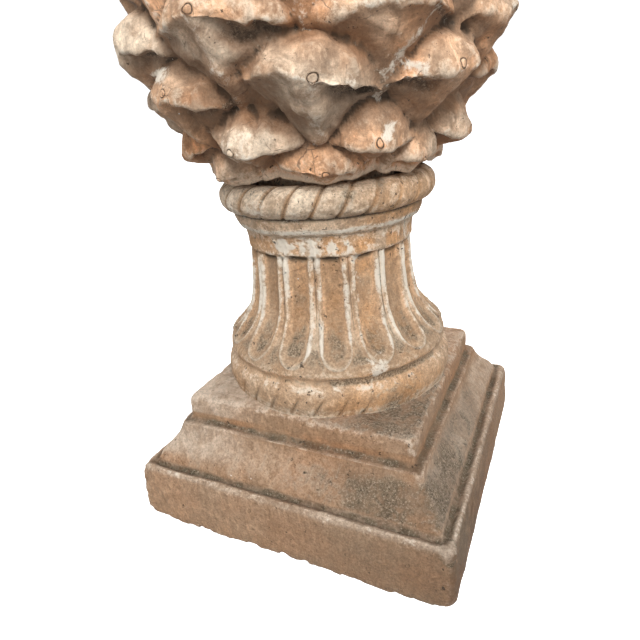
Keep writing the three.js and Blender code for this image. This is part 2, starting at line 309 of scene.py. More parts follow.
def turned(name, outline, sides):
    """A piece turned round the axis: its outline is drawn by extruding a corner along it, and then spun."""
    select_none()
    bpy.ops.mesh.primitive_plane_add(size=0.01, location=(0, 0, 0))
    piece = bpy.context.object
    piece.name = name
    edit("VERT")
    bpy.ops.mesh.select_all(action="SELECT")
    bpy.ops.mesh.merge(type="CENTER")
    bpy.ops.transform.translate(value=(outline[0][0], 0, outline[0][1]))
    for (radius, height), (last_radius, last_height) in zip(outline[1:], outline[:-1]):
        step = (radius - last_radius, 0, height - last_height)
        bpy.ops.mesh.extrude_region_move(TRANSFORM_OT_translate={"value": step})
    bpy.ops.mesh.select_all(action="SELECT")
    bpy.ops.mesh.spin(steps=sides, angle=2 * math.pi, center=(0, 0, 0), axis=(0, 0, 1))
    bpy.ops.mesh.select_all(action="SELECT")
    bpy.ops.mesh.remove_doubles(threshold=1e-5)
    faces_out()
    return piece


def round_places(piece):
    """The places of a turned piece's vertices, and their azimuths, radii and heights."""
    places = places_of(piece)
    return places, azimuth_of(places), np.hypot(places[:, 0], places[:, 1]), places[:, 2]


def settle(piece, places, radius, broad, fine, share=1.0):
    """Moves a turned piece's vertices to new places, and makes its skin uneven.

    The broad and the fine lumps are each a rise, a size, a kind of noise and its octaves.
    """
    places[radius < 1e-6, :2] = 0
    place_all(piece, places)
    lumps = sum(rise * clouds(places, size, kind, octaves) for rise, size, kind, octaves in (broad, fine))
    places += normals_of(piece) * (lumps * share)[:, None]
    place_all(piece, places)


def smoothed(piece, places, rounds):
    """The places of a piece's vertices once its surface is eased by some rounds."""
    ends = np.empty(len(piece.data.edges) * 2, np.int32)
    piece.data.edges.foreach_get("vertices", ends)
    first, second = ends.reshape(-1, 2).T
    count = len(places)
    shared = np.bincount(ends, minlength=count)[:, None]
    for _ in range(rounds):
        total = np.column_stack([
            np.bincount(first, places[second, axis], count) + np.bincount(second, places[first, axis], count)
            for axis in range(3)
        ])
        places = (places + total / shared) / 2
    return places


def mark_relief(piece, fine_reach, broad_reach, broad_rounds=60):
    """Marks where the surface stands out or is sunk, finely and broadly, and how far it faces up."""
    places = places_of(piece)
    normals = normals_of(piece)
    for name, rounds, reach in (("fine", FINE_ROUNDS, fine_reach), ("broad", broad_rounds, broad_reach)):
        out = ((places - smoothed(piece, places, rounds)) * normals).sum(1)
        mark(piece, name, np.clip(out / reach, -1, 1))
    mark(piece, "level", np.clip(normals[:, 2], 0, 1))


def spots(azimuth, height, radius, marks):
    """How strongly listed spots show, each at degrees round and a height, with a size and a strength."""
    most = np.zeros(len(azimuth))
    for degrees, middle, size, strength in marks:
        sideways = turn_between(azimuth, math.radians(degrees)) * radius
        most = np.maximum(most, strength * bell(np.hypot(sideways, height - middle), size))
    return most


# The clay's finish

class Nodes:
    """A tree of nodes, added one after another."""

    def __init__(self, tree):
        self.tree = tree

    def feed(self, node, sources):
        """Links sockets of a node to their sources, or sets them to plain values."""
        for name, source in sources.items():
            source = source.socket if isinstance(source, Mask) else source
            if isinstance(source, bpy.types.NodeSocket):
                self.tree.links.new(source, node.inputs[name])
            else:
                node.inputs[name].default_value = source

    def add(self, kind, sources=(), **settings):
        node = self.tree.nodes.new(kind)
        for name, value in settings.items():
            setattr(node, name, value)
        self.feed(node, dict(sources))
        return node


class Mask:
    """A number that varies over a surface. Masks are added, and multiplied by numbers and by each other."""

    def __init__(self, nodes, socket):
        self.nodes = nodes
        self.socket = socket

    def joined(self, other, operation):
        both = self.nodes.add("ShaderNodeMath", {0: self, 1: other}, operation=operation)
        return Mask(self.nodes, both.outputs[0])

    def __add__(self, other):
        return self.joined(other, "ADD")

    def __mul__(self, other):
        return self.joined(other, "MULTIPLY")

    __rmul__ = __mul__


class Finish(Nodes):
    """A material's nodes, and the colour that they have come to so far."""

    def __init__(self, name):
        self.material = bpy.data.materials.new(name)
        self.material.use_nodes = True
        super().__init__(self.material.node_tree)
        self.shader = self.tree.nodes["Principled BSDF"]
        self.place = self.add("ShaderNodeTexCoord").outputs["Object"]
        self.colour = (1, 1, 1)

    def vector(self, operation, first, second):
        return self.add("ShaderNodeVectorMath", {0: first, 1: second}, operation=operation).outputs[0]

    def wavy(self, size, reach):
        """Object coordinates that waver by a reach, in waves of a size."""
        wave = self.add("ShaderNodeTexNoise", {"Vector": self.place, "Scale": 1 / size, "Detail": 3})
        moved = self.vector("MULTIPLY", wave.outputs["Color"], (reach,) * 3)
        return self.vector("ADD", self.place, moved)

    def cloudy(self, size, detail, rough, low, high, swirl=0.0, at=None):
        """A mask of smooth patches of a size in metres, swirled like a smeared slip where that is given."""
        patch = self.add("ShaderNodeTexNoise", {
            "Vector": at or self.place, "Scale": 1 / size, "Detail": detail, "Roughness": rough,
            "Distortion": swirl,
        })
        return self.ramp(patch.outputs["Fac"], low, high)

    def ramp(self, value, low, high, bottom=0.0, top=1.0):
        limits = {"From Min": low, "From Max": high, "To Min": bottom, "To Max": top}
        eased = self.add("ShaderNodeMapRange", {"Value": value, **limits}, interpolation_type="SMOOTHSTEP")
        return Mask(self, eased.outputs["Result"])

    def marked(self, name):
        return Mask(self, self.add("ShaderNodeAttribute", attribute_name=name).outputs["Fac"])

    def tone(self, mask, low, high):
        """Makes the colour so far darker or lighter along a mask."""
        value = self.ramp(mask, 0, 1, low, high)
        node = self.add("ShaderNodeHueSaturation", {"Color": self.colour, "Value": value})
        self.colour = node.outputs["Color"]

    def specks(self, size, width, share):
        """A mask of small round specks, in a share of the cells of a size."""
        cells = self.add("ShaderNodeTexVoronoi", {"Vector": self.place, "Scale": 1 / size, "Randomness": 1.0})
        near = self.ramp(cells.outputs["Distance"], width * 1.4, width * 0.7)
        chosen = self.add("ShaderNodeSeparateColor", {"Color": cells.outputs["Color"]}).outputs["Red"]
        return near * self.ramp(chosen, share, share * 0.8)

    def over(self, under, colour, factor):
        mixed = self.add("ShaderNodeMix", {"Factor": factor}, data_type="RGBA")
        for socket, source in (("A", under), ("B", colour)):
            entry = [i for i in mixed.inputs if i.name == socket and i.type == "RGBA"][0]
            if isinstance(source, bpy.types.NodeSocket):
                self.tree.links.new(source, entry)
            else:
                entry.default_value = (*source, 1)
        return [o for o in mixed.outputs if o.type == "RGBA"][0]

    def lay(self, colour, factor):
        """Lays another colour over the colour so far."""
        self.colour = self.over(self.colour, colour, factor)


def dimmed(colour, share):
    return tuple(share * c for c in colour)


def fired_clay(name, body, warm, pale, growth, grit, smoky=0.12, pitted=0.35, cracked=0.0):
    """Old fired clay: a mottled body, lime where it stands out, growth where it is sunk, and painted shade in
    the creases and where it is marked.
    """
    f = Finish(name)
    fine = f.marked("fine")
    broad = f.marked("broad")
    tint = f.marked("tint")
    mottle = f.cloudy(0.055, detail=6, rough=0.6, low=0.32, high=0.68)
    smudge = f.cloudy(0.034, detail=7, rough=0.6, low=0.34, high=0.66, swirl=1.3)
    blotch = f.cloudy(0.016, detail=6, rough=0.62, low=0.32, high=0.68, swirl=1.0)
    sand = f.cloudy(0.0042, detail=6, rough=0.78, low=0.3, high=0.7)
    grain = f.cloudy(0.0021, detail=4, rough=0.85, low=0.3, high=0.7)
    dust = 0.5 * blotch + 0.5 * sand
    drawn = f.vector("MULTIPLY", f.wavy(0.04, 0.016), (1, 1, 0.2))
    streak = f.cloudy(0.0045, detail=5, rough=0.65, low=0.32, high=0.68, at=drawn)

    # The body, with slip that fired paler in places, and pale dust on what faces up or stands out
    f.colour = body
    f.lay(warm, mottle * f.ramp(tint, -0.7, 0.9, 0.1, 1.0))
    f.lay(pale, f.ramp(tint, 0.1, -1.0) * f.ramp(smudge, 0.0, 0.8, 0.45, 1.0))
    f.lay(pale, f.marked("level") * f.ramp(dust, 0.1, 0.9, 0.1, 0.55))
    f.tone(smudge, 1 - smoky, 1 + 0.6 * smoky)
    f.tone(blotch, 0.93 - 0.7 * smoky, 1.04 + 0.5 * smoky)
    f.tone(streak, 0.89, 1.06)
    proud = f.ramp(0.4 * broad + 0.3 * fine + 0.6 * dust, 0.48, 0.98)
    f.lay(pale, 0.8 * proud)

    # Brown stains and painted shade where shade is marked, growth in what is sunk, growth and painted shade
    # where grime and shade are marked, and near-black painted shade in the creases
    stain_and_shade = f.over(tuple(0.25 * c + 0.4 * g for c, g in zip(body, growth)), dimmed(warm, 0.3), mottle)
    f.lay(stain_and_shade, f.marked("shade") * f.ramp(smudge + blotch, 0.3, 1.3, 0.6, 1.0))
    sunk = f.ramp(0.7 * f.ramp(broad, -0.1, -1.0) + 0.6 * dust, 0.5, 1.05)
    f.lay(growth, 0.6 * sunk)
    # Growth, and painted shade, where grime and shade are marked
    grown_and_shaded = f.ramp(f.marked("grime_and_shade") + 0.8 * dust, 0.6, 1.1)
    f.lay(growth, 0.55 * grown_and_shaded)
    f.lay(dimmed(growth, 0.3), grown_and_shaded * f.ramp(grain, 0.5, 0.25, 0.0, 0.65))
    f.lay(pale, grown_and_shaded * f.ramp(grain, 0.66, 0.9, 0.0, 0.28))
    # Painted shade: a near-black growth colour darkens the creases
    crease = f.ramp(f.ramp(fine, -0.3, -1.0) + f.ramp(broad, -0.8, -1.0), 0.2, 1.4)
    f.lay(dimmed(growth, 0.35), 0.7 * crease)

    # Sand and grit, a crust of lime, pits, cracks and white specks
    f.tone(sand, 1 - 0.3 * grit, 1 + 0.12 * grit)
    f.tone(grain, 1 - 0.14 * grit, 1 + 0.14 * grit)
    specked = f.ramp(grain, 0.2, 0.02, 0.0, 0.8 * grit) * f.ramp(smudge, 0.25, 0.8, 0.1, 1.0)
    f.lay(dimmed(body, 0.28), specked)
    crust = f.ramp(f.marked("lime") + 0.7 * dust, 0.62, 1.0)
    f.lay((0.84, 0.76, 0.64), 0.88 * crust)
    holes = f.cloudy(0.0062, detail=3, rough=0.7, low=pitted, high=pitted - 0.04)
    pits = holes * f.ramp(mottle, 0.1, 0.7)
    f.lay((0.035, 0.027, 0.02), 0.85 * pits)
    cell = f.add(
        "ShaderNodeTexVoronoi", {"Vector": f.wavy(0.016, 0.009), "Scale": 20.0}, feature="DISTANCE_TO_EDGE")
    cracks = f.ramp(cell.outputs["Distance"], 0.009, 0.003) * f.ramp(smudge, 0.55, 0.85, 0.0, cracked)
    f.lay((0.12, 0.085, 0.06), 0.6 * cracks)
    f.lay((0.88, 0.84, 0.76), f.specks(0.02, 0.03, 0.25))

    carved = -1.0 * (pits + 0.7 * cracks)
    relief = None
    for height, strength, distance in (
            (grain, 0.7, 0.0005), (sand, 0.8, 0.0016), (streak, 0.9, 0.0010), (blotch, 0.6, 0.0030),
            (carved, 0.9, 0.0012)):
        sources = {"Height": height, "Strength": min(1, strength * grit), "Distance": distance}
        if relief:
            sources["Normal"] = relief.outputs[0]
        relief = f.add("ShaderNodeBump", sources)
    f.feed(f.shader, {
        "Base Color": f.colour, "Roughness": f.ramp(sand, 0, 1, 0.78, 0.97), "Specular IOR Level": 0.25,
        "Normal": relief.outputs[0],
    })
    return f.material


def dress(piece, node, clay):
    """Gives a finished piece its clay, puts it under the root body, and hides the imported part of its node.
    """
    only(piece)
    bpy.ops.object.shade_smooth()
    piece.data.materials.clear()
    piece.data.materials.append(clay)
    for name in ("lime", "grime_and_shade", "tint", "shade"):
        if name not in piece.data.attributes:
            mark(piece, name, np.zeros(len(piece.data.vertices)))
    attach(piece, "root")
    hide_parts(node)


# Square base

def square_blank():
    """A plane drawn up through the base's outline, with its corners rounded, as one even skin."""
    select_none()
    half, height = BASE_OUTLINE[0]
    bpy.ops.mesh.primitive_plane_add(size=2 * half, location=(0, 0, height))
    piece = bpy.context.object
    piece.name = "square_base"
    bpy.ops.object.transform_apply(location=True, rotation=True, scale=True)
    bpy.ops.object.mode_set(mode="EDIT")
    for next_half, next_height in BASE_OUTLINE[1:]:
        bpy.ops.mesh.extrude_region_move(TRANSFORM_OT_translate={"value": (0, 0, next_height - height)})
        bpy.ops.transform.resize(value=(next_half / half, next_half / half, 1))
        half, height = next_half, next_height
    bpy.ops.mesh.select_all(action="DESELECT")
    bpy.ops.object.mode_set(mode="OBJECT")
    ends = piece.data.vertices
    for edge in piece.data.edges:
        first, second = (ends[i].co for i in edge.vertices)
        edge.select = first.x * second.x > 0 and first.y * second.y > 0
    edit("EDGE")
    bpy.ops.mesh.bevel(offset=BASE_CORNER, segments=4, affect="EDGES")
    faces_out()
    only(piece)
    skin = piece.modifiers.new("skin", "REMESH")
    skin.mode = "VOXEL"
    skin.voxel_size = BASE_VOXEL
    bpy.ops.object.modifier_apply(modifier=skin.name)
    return piece


def square_base():
    piece = square_blank()
    places = places_of(piece)
    x, y, z = places.T
    normals = normals_of(piece)
    side = np.abs(places[:, :2]).max(1)
    seam = close_to(z, PLINTH_SEAM[1], 0.007, 0.003) * close_to(side, PLINTH_SEAM[0], 0.006, 0.001)
    ledge = close_to(z, SLAB_SEAM[1], 0.007, 0.003) * close_to(side, SLAB_SEAM[0], 0.007, 0.001)
    uneven = 0.6 + 0.4 * patches(places, 0.03, 26, 3, -0.4, 0.3)
    from_lump = np.linalg.norm(places - CORNER_LUMP, axis=1) * (1 + 0.35 * clouds(places, 0.009, 27, 2))

    # The lines waver, and the faces are slightly lumpy
    sway = clouds(places * (1, 1, 0.25), 0.09, 0, 2)
    lumps = clouds(places, 0.035, 1, 3)
    places += normals * (BASE_SWAY * sway + BASE_LUMPS * lumps)[:, None]
    z += BASE_WAVER * clouds(places * (1, 1, 0), 0.06, 2, 2) * ease(z, 0.02, 0.06)

    # The arrises are worn and nibbled, the slab's upper one most
    proud = ((places - smoothed(piece, places, 14)) * normals).sum(1)
    bites = patches(places, 0.012, 3, 3, -0.1, 0.5)
    places -= normals * (np.clip(proud, 0, ARRIS_WEAR) * (0.35 + 1.4 * bites))[:, None]
    places += normals * (CORNER_LUMP_RISE * ease(from_lump, 0.0105, 0.0045))[:, None]

    # Bits have broken away along the foot, and the corners of the foot are rounded
    side = np.abs(places[:, :2]).max(1)
    nibble = FOOT_CHIPS * patches(places * (1, 1, 0), 0.016, 4, 2, 0.02, 0.55)
    nibble += FOOT_WEAR * patches(places * (1, 1, 0), 0.05, 5, 1, -0.3, 0.5)
    lift = nibble * ease(side, BASE_HALF - FOOT_ROUND, BASE_HALF - 0.002)
    z[:] = np.maximum(z, lift)
    inner = BASE_HALF - FOOT_ROUND
    beyond = np.column_stack((
        np.clip(np.abs(places[:, :2]) - inner, 0, None), np.clip(FOOT_ROUND - z, 0, None),
    ))
    at_corner = (beyond > 0).all(1)
    reach = np.linalg.norm(beyond[at_corner], axis=1)
    pull = np.minimum(1, FOOT_ROUND / reach)
    kept = beyond[at_corner] * pull[:, None]
    signs = np.sign(places[at_corner, :2])
    places[at_corner, :2] = signs * (inner + kept[:, :2])
    places[at_corner, 2] = FOOT_ROUND - kept[:, 2]
    places[:, :2] = np.clip(places[:, :2], -BASE_HALF, BASE_HALF)
    z[:] = np.clip(z, 0, None)
    place_all(piece, places)

    mark_relief(piece, fine_reach=0.0011, broad_reach=0.0036)
    slab = ease(z, SLAB_TOP, SLAB_TOP - 0.004)
    crusty = span(z, 0.0635, 0.0675, 0.0705, 0.0735)
    lump = ease(from_lump, 0.011, 0.007)
    lump_edge = bell(from_lump - 0.0105, 0.0014)
    mark(piece, "lime", 0.21 * crusty * (side > 0.168))
    hollow = span(z, 0.070, 0.078, 0.096, 0.114)
    darker = ease(x, -0.02, 0.12) * ease(y, 0.1, -0.1)
    on_top = ease(z, 0.138, 0.141)
    near_mitre = bell(x + y + 0.012, 0.012) * (x > 0.1)
    growing = 0.57 * (hollow + on_top) * (0.35 + 0.65 * darker) * (1 - 0.6 * near_mitre * hollow)
    lines = np.maximum(seam, ledge) * uneven
    mark(piece, "grime_and_shade", growing, 0.5 * lines, 0.7 * lump_edge)
    # Painted shade, partly dirt, on the right side face and towards the front right corner; darker seam and
    # ledge
    corner = ease(x - 0.5 * y, 0.02, 0.26)
    darkening = clouds(places, 0.06, 19, 2)
    patch = ease(darkening + 0.8 * darker, 0.25, 0.9) * np.clip(hollow + on_top, 0, 1)
    to_right = 0.6 + 0.4 * ease(x, 0.168, 0.173)
    shaded = to_right * corner * (0.35 + 0.65 * slab) + 0.5 * patch + 1.1 * lines
    mark(piece, "shade", np.clip(np.maximum(shaded, 0.5 * lump), 0, 0.95))
    bleached = ease(x, 0.02, -0.12) * ease(z, 0.074, 0.09)
    lower_edge = close_to(z, 0.119, 0.006, 0.002) * ease(side, 0.124, 0.127)
    to_side = x + y
    greyed = 0.6 * hollow * ease(to_side, 0.0, 0.008) * ease(x, 0.12, 0.14)
    mitre = 0.9 * hollow * span(to_side, -0.03, -0.01, -0.002, 0.002) * (x > 0.1)
    tint = 0.25 - 0.3 * slab - 0.35 * darker * (1 - slab) - (0.9 + 0.6 * on_top) * bleached
    tint += 0.8 * lower_edge + mitre - 0.5 * crusty - 0.3 * lump - greyed
    mark(piece, "tint", np.clip(tint, -1, 1))
    return piece


# Column

def flute_line(azimuth, along, half_pitch):
    """The distance from the nearest flute's rim, below 0 inside it, its half width, and the rib's middle."""
    turns = (azimuth - FLUTE_PHASE) / (2 * math.pi) * FLUTES
    nearest = np.round(turns)
    wander = np.array([noise.noise(Vector((n * 1.7, 0.3, 0.9))) for n in range(FLUTES)])
    slot = nearest.astype(int) % FLUTES
    across = np.abs(turns - nearest + 0.04 * wander[slot]) * 2 * half_pitch
    width = FLUTE_SHARE * np.maximum(half_pitch, 0.005) * (1 + 0.08 * wander[(slot * 5 + 3) % FLUTES])
    end = FLUTE_END * (1 + 0.15 * wander[(slot * 3 + 1) % FLUTES])
    drop = np.clip(end - (along + 0.003 * wander[(slot * 7 + 2) % FLUTES]), 0, None)
    share = np.sqrt((across / width) ** 2 + (drop / end) ** 2) + 1e-6
    slope = np.sqrt((across / width**2) ** 2 + (drop / end**2) ** 2) / share + 1e-3
    return (share - 1) / slope, width, half_pitch - across


def column():
    outline = evened(COLUMN_OUTLINE, COLUMN_STEP)
    piece = turned("fluted_column", closed(outline), COLUMN_SIDES)
    places, azimuth, radius, height = round_places(piece)
    run = np.concatenate(([0], np.cumsum(np.hypot(*np.diff(outline, axis=0).T))))
    along = np.interp(height, outline[:, 1], run) - np.interp(FLUTE_FOOT, outline[:, 1], run)

    # Flutes with raised rims, an incision between neighbours and darts between their round ends
    away, width, from_middle = flute_line(azimuth, along, math.pi / FLUTES * radius)
    inside = np.clip(-away / width, 0, 1)
    channel = FLUTE_DEPTH * np.sqrt(1 - (1 - inside) ** 2)
    rim_width = RIM_WIDTH * (0.5 + 0.5 * ease(along, 0.005, 0.07))
    rim = RIM_RISE * np.sin(math.pi * np.clip(away / rim_width, 0, 1))
    incision = bell(from_middle, INCISION_WIDTH) * ease(along, 0.002, 0.010)
    darts = 1 - np.exp(-np.clip(away - rim_width, 0, None) / 0.0015)
    sunk = np.maximum(INCISION * incision, DART_DEPTH * darts * ease(along, -0.006, 0.004))
    ragged = 0.0025 * clouds(on_circle(azimuth, 0.09, 0 * height), 0.02, 6, 2)
    from_head = height + ragged - FLUTE_HEAD
    fluted = ease(along, -0.010, -0.004) * ease(from_head, 0.0006, -0.0006)
    rise = (rim - channel - sunk) * fluted
    rise[radius < 0.05] = 0

    # Faint slanted marks on the foot roll
    lean = ROLL_STROKE_LEAN * (height - ROLL_FOOT) / ROLL_RADIUS
    turns = (azimuth - lean) / (2 * math.pi) * ROLL_STROKES
    stroke = np.abs(turns - np.round(turns)) * 2 * math.pi / ROLL_STROKES * radius
    on_roll = span(height, 0.1405, 0.144, 0.158, 0.1685)
    at_left = ease(degrees_from(azimuth, 2), 48, 30)
    faint = np.maximum(at_left, 0.4 * patches(places, 0.05, 7, 1, -0.2, 0.4))
    strokes = bell(stroke, ROLL_STROKE_WIDTH) * on_roll * faint
    rise -= ROLL_STROKE_DEPTH * strokes

    spread = on_circle(azimuth, radius + rise, height)
    settle(piece, spread, radius, (0.0009, 0.05, 8, 2), (0.0005, 0.014, 9, 3))

    mark_relief(piece, fine_reach=0.0007, broad_reach=0.0026)
    shaft = ease(along, 0.0, 0.02)
    rims = ease(away, -0.0012, 0.0004) * ease(away - rim_width, 0.0012, -0.0004) * fluted
    crust = spots(azimuth, height, radius, [
        (40, 0.289, 0.006, 1.0), (40, 0.270, 0.005, 0.6), (40, 0.250, 0.005, 0.6), (43, 0.188, 0.010, 1.0),
        (-5, 0.302, 0.013, 0.95), (12, 0.301, 0.014, 1.0), (24, 0.303, 0.010, 0.8), (34, 0.300, 0.012, 0.7),
        (52, 0.302, 0.010, 0.4), (-18, 0.298, 0.010, 0.5),
    ])
    crumbs = patches(places, 0.007, 21, 3, -0.4, 0.3)
    crust *= 0.5 + 0.5 * crumbs
    band = span(height, 0.291, 0.295, 0.311, 0.3165)
    patchy = patches(places * (1, 1, 0.4), 0.026, 18, 3, -0.35, 0.3)
    patchy *= 1 - 0.7 * bell(degrees_from(azimuth, 38), 6) * (height < 0.29)
    low_rims = rims * (1 - shaft)
    rims *= (0.3 + 0.7 * shaft) * (0.42 + 0.58 * patchy)
    roll_edge = 0.3 * close_to(height, 0.1712, 0.006, 0.001)
    mark(piece, "lime", crust, 0.64 * rims, 0.27 * band, roll_edge)
    bottoms = ease(inside, 0.05, 0.6) * fluted * ease(along, 0.07, 0.0)
    on_right = ease(degrees_from(azimuth, 48), 42, 10)
    grooves = close_to(height, 0.1784, 0.006, 0.002) * (0.3 + 0.55 * on_right)
    foot_shade = spots(azimuth, height, radius, [(52, 0.144, 0.03, 0.6), (35, 0.142, 0.02, 0.4)])
    dusky = 0.3 * ease(inside, 0.1, 0.5) * fluted * patches(places, 0.03, 22, 3, -0.2, 0.4)
    # Growth at the flute feet, in the flutes and the foot groove; painted shade in the darts, the incisions
    # and on the foot roll
    dart = 0.5 * darts * span(along, -0.006, 0.004, 0.01, 0.03)
    mark(piece, "grime_and_shade", 0.65 * bottoms, dusky, dart, grooves, 0.45 * strokes, foot_shade, 0.35 * incision)
    rib = ease(away, -0.001, 0.001) * patchy * (0.3 + 0.7 * shaft)
    peach = spots(azimuth, height, radius, [(38, 0.158, 0.028, 1.0), (62, 0.16, 0.03, 1.0)])
    at_right = span(azimuth, math.radians(22), math.radians(45), 1.6, 2.4)
    channels = (0.45 + 0.5 * at_right) * inside * shaft
    mark(piece, "tint", channels - 0.1 - 0.5 * rib - 0.45 * low_rims + 0.15 * band + 0.8 * peach)
    dull = (0.14 + 0.34 * patches(places, 0.05, 28, 3, -0.3, 0.4)) * ease(inside, 0.05, 0.4) * fluted
    on_foot = ease(height, 0.170, 0.165) * (1 - peach)
    flute_feet = ease(along, 0.045, 0.01) * fluted
    mark(piece, "shade", 0.35 * flute_feet, dull, 0.2 * on_foot + 0.5 * strokes)
    return piece


# Collar

def collar():
    rope_foot = pedestal_head.z - 2 * ROPE_HALF
    middle = pedestal_head.z - ROPE_HALF - 0.0002
    swings = np.radians(np.arange(-76, 100, 8))
    rope = [(ROPE_MIDDLE_RADIUS + ROPE_HALF * math.cos(s), middle + ROPE_HALF * math.sin(s)) for s in swings]
    well_floor = pedestal_head.z - WELL_DEPTH
    well = [(WELL_RADIUS, well_floor + 0.001), (WELL_RADIUS - 0.0015, well_floor)]
    outline = evened(RING_OUTLINE + rope + WELL_LIP + well, COLLAR_STEP)
    piece = turned("rope_collar", closed(outline, dip=0.001), COLLAR_SIDES)
    places, azimuth, radius, height = round_places(piece)

    # Strands that lean round the roll, with grooves that are deep in places and worn in others
    out = np.arctan2(height - middle, radius - ROPE_MIDDLE_RADIUS)
    from_core = np.hypot(height - middle, radius - ROPE_MIDDLE_RADIUS)
    on_rope = (from_core < ROPE_HALF * 1.05) & (height > rope_foot)
    lean = ROPE_LEAN * (out / math.pi + 0.5)
    turns = (azimuth - lean) / (2 * math.pi) * ROPE_STRANDS
    from_groove = np.abs(turns - np.round(turns)) * 2 * math.pi / ROPE_STRANDS * radius
    worn = 0.45 + 0.55 * patches(places, 0.09, 10, 1, -0.35, 0.25)
    groove = bell(from_groove, ROPE_GROOVE_WIDTH) * worn
    strand = 1 - np.clip(from_groove / STRAND_HALF, 0, 1) ** 1.2
    cut = (ROPE_GROOVE * groove + STRAND_ROUNDING * strand) * on_rope * ease(out, 2.2, 1.5)
    way = np.column_stack((np.cos(out), np.sin(out))) * cut[:, None]
    spread = on_circle(azimuth, radius - way[:, 0], height - way[:, 1])
    outer = ease(radius, 0.084, 0.088)
    settle(piece, spread, radius, (0.0008, 0.04, 11, 2), (0.0005, 0.012, 12, 3), outer)
    spread[:, 2] = np.minimum(spread[:, 2], pedestal_head.z)
    place_all(piece, spread)

    mark_relief(piece, fine_reach=0.0005, broad_reach=0.0022)
    lower_edge = span(height, 0.3145, 0.3165, 0.3185, 0.3225)
    crust = spots(azimuth, height, radius, [
        (-30, 0.34, 0.016, 0.42), (-12, 0.338, 0.016, 0.45), (8, 0.336, 0.014, 0.35), (20, 0.338, 0.01, 0.3),
    ])
    mark(piece, "lime", 0.6 * lower_edge, crust)
    dark = spots(azimuth, height, radius, [
        (35, 0.352, 0.007, 0.75), (31, 0.343, 0.005, 0.6), (52, 0.356, 0.006, 0.5),
    ])
    seam = 0.6 * close_to(height, 0.3304, 0.003, 0.001)
    grooved = groove * on_rope
    mark(piece, "grime_and_shade", 0.45 * grooved, seam, dark)
    mark(piece, "shade", 0.5 * grooved)
    to_right = ease(azimuth, math.radians(30), math.radians(52))
    ring = ease(height, 0.3315, 0.3295)
    mark(piece, "tint", 1.1 * grooved - 0.65 + 0.6 * to_right + 0.25 * ring)
    return piece


# Pinecone

belly = cone_foot.z + BELLY_RISE
hem = pedestal_head.z + 0.0003


def oval_radius(height):
    rise = np.asarray(height, float) - belly
    low = CONE_RADIUS * np.sqrt(np.clip(1 - (rise / LOWER_HALF_AXIS) ** 2, 0, 1))
    share = np.clip(rise / (cone_head.z - belly), 0, 1)
    return np.where(rise < 0, low, CONE_RADIUS * (1 - share**2) ** TAPER_POWER)


def row_heights():
    """The heights of the rows: past the crowded low ones, steps along the oval that shrink upwards."""
    heights = [cone_foot.z + rise for rise in LOW_ROWS]
    height, walked, step = heights[-1], 0.0, 0.001
    while height < belly or oval_radius(height) > CONE_TIP_RADIUS:
        walked += math.hypot(step, float(oval_radius(height + step) - oval_radius(height)))
        height += step
        if walked >= ROW_PITCH * (1 - ROW_PITCH_SHRINK * (1 - float(oval_radius(height)) / CONE_RADIUS)):
            heights.append(height)
            walked = 0.0
    return heights


rows = row_heights()
levels = np.array(rows + [cone_head.z])
counted = np.arange(1, len(levels) + 1)

# What each scale in view does differently, by its row and azimuth in degrees: where its tip is, how high its
# face reaches, how pale or orange it is, and, for its left and right sides, how wide each is, how far its
# corner droops, how hollow it is below and how far its lip hangs. None leaves a side as chance made it.
SEEN_SCALES = {
    (1, -25): dict(azimuth=-27, place=1.08, relief=1.05, tint=-0.5),
    (1, 24): dict(azimuth=25, place=1.22, relief=1.08, tint=0.2, width=(1.05, None)),
    (1, 68): dict(azimuth=68, place=1.3, relief=1.05, tint=-0.2, width=(0.75, None)),
    (2, -3): dict(azimuth=-5, place=2.12, reach=0.32, relief=1.06, tint=-1.0, width=(0.72, 1.02),
                  drop=(-0.05, 0.32), hollow=(0.05, 0.26), lip=(0.2, 1.0)),
    (2, 42): dict(azimuth=42.5, place=2.1, reach=0.34, relief=1.05, tint=0.8, width=(0.72, 1.06),
                  drop=(0.4, 0.36), hollow=(0.16, 0.18), lip=(0.7, 1.0)),
    (2, 90): dict(azimuth=92, place=2.1, reach=0.4, relief=1.05, tint=-0.1, width=(0.85, None)),
    (3, -20): dict(azimuth=-25, place=3.02, reach=0.56, relief=1.04, tint=0.5, ring_turn=0.07, ring_rise=0.1,
                   width=(0.85, 0.86), drop=(0.1, 0.4), hollow=(0.04, 0.24), lip=(0.0, 0.4)),
    (3, 24): dict(azimuth=23.5, place=3.08, reach=0.74, relief=1.0, tint=-0.35, under_tint=-0.9, keel=0.5,
                  width=(1.0, 0.98), drop=(0.1, 0.4), hollow=(0.10, 0.33), lip=(0.0, 1.1)),
    (3, 62): dict(azimuth=64, place=3.14, reach=0.66, relief=1.0, tint=0.35, width=(0.86, 0.95),
                  drop=(0.42, 0.1), hollow=(0.26, 0.06), lip=(0.5, 0.2)),
    (4, -42): dict(azimuth=-40, place=4.0, relief=1.14, tint=-0.9, under_tint=-0.5, width=(None, 0.9),
                   drop=(None, 0.4), hollow=(None, 0.2)),
    (4, 0): dict(azimuth=-2.5, place=4.12, relief=1.04, tint=0.3, under_tint=-0.55, keel=0.5,
                 width=(1.0, 1.0), drop=(0.25, 0.4), hollow=(0.14, 0.30), lip=(0.3, 0.8)),
    (4, 45): dict(azimuth=45, place=4.04, tint=0.1, under_tint=-0.15, keel=0.95, lean=0.5, width=(1.0, None),
                  drop=(0.3, 0.25), hollow=(0.06, 0.1), lip=(0.3, None)),
}


def as_seen(scale, changes):
    """A scale made by chance, changed to how it is seen."""
    seen = dict(scale, **changes)
    seen["azimuth"] = math.radians(changes["azimuth"])
    for name in ("width", "drop", "hollow", "lip"):
        seen[name] = [own if new is None else new for own, new in zip(scale[name], seen[name])]
    return seen


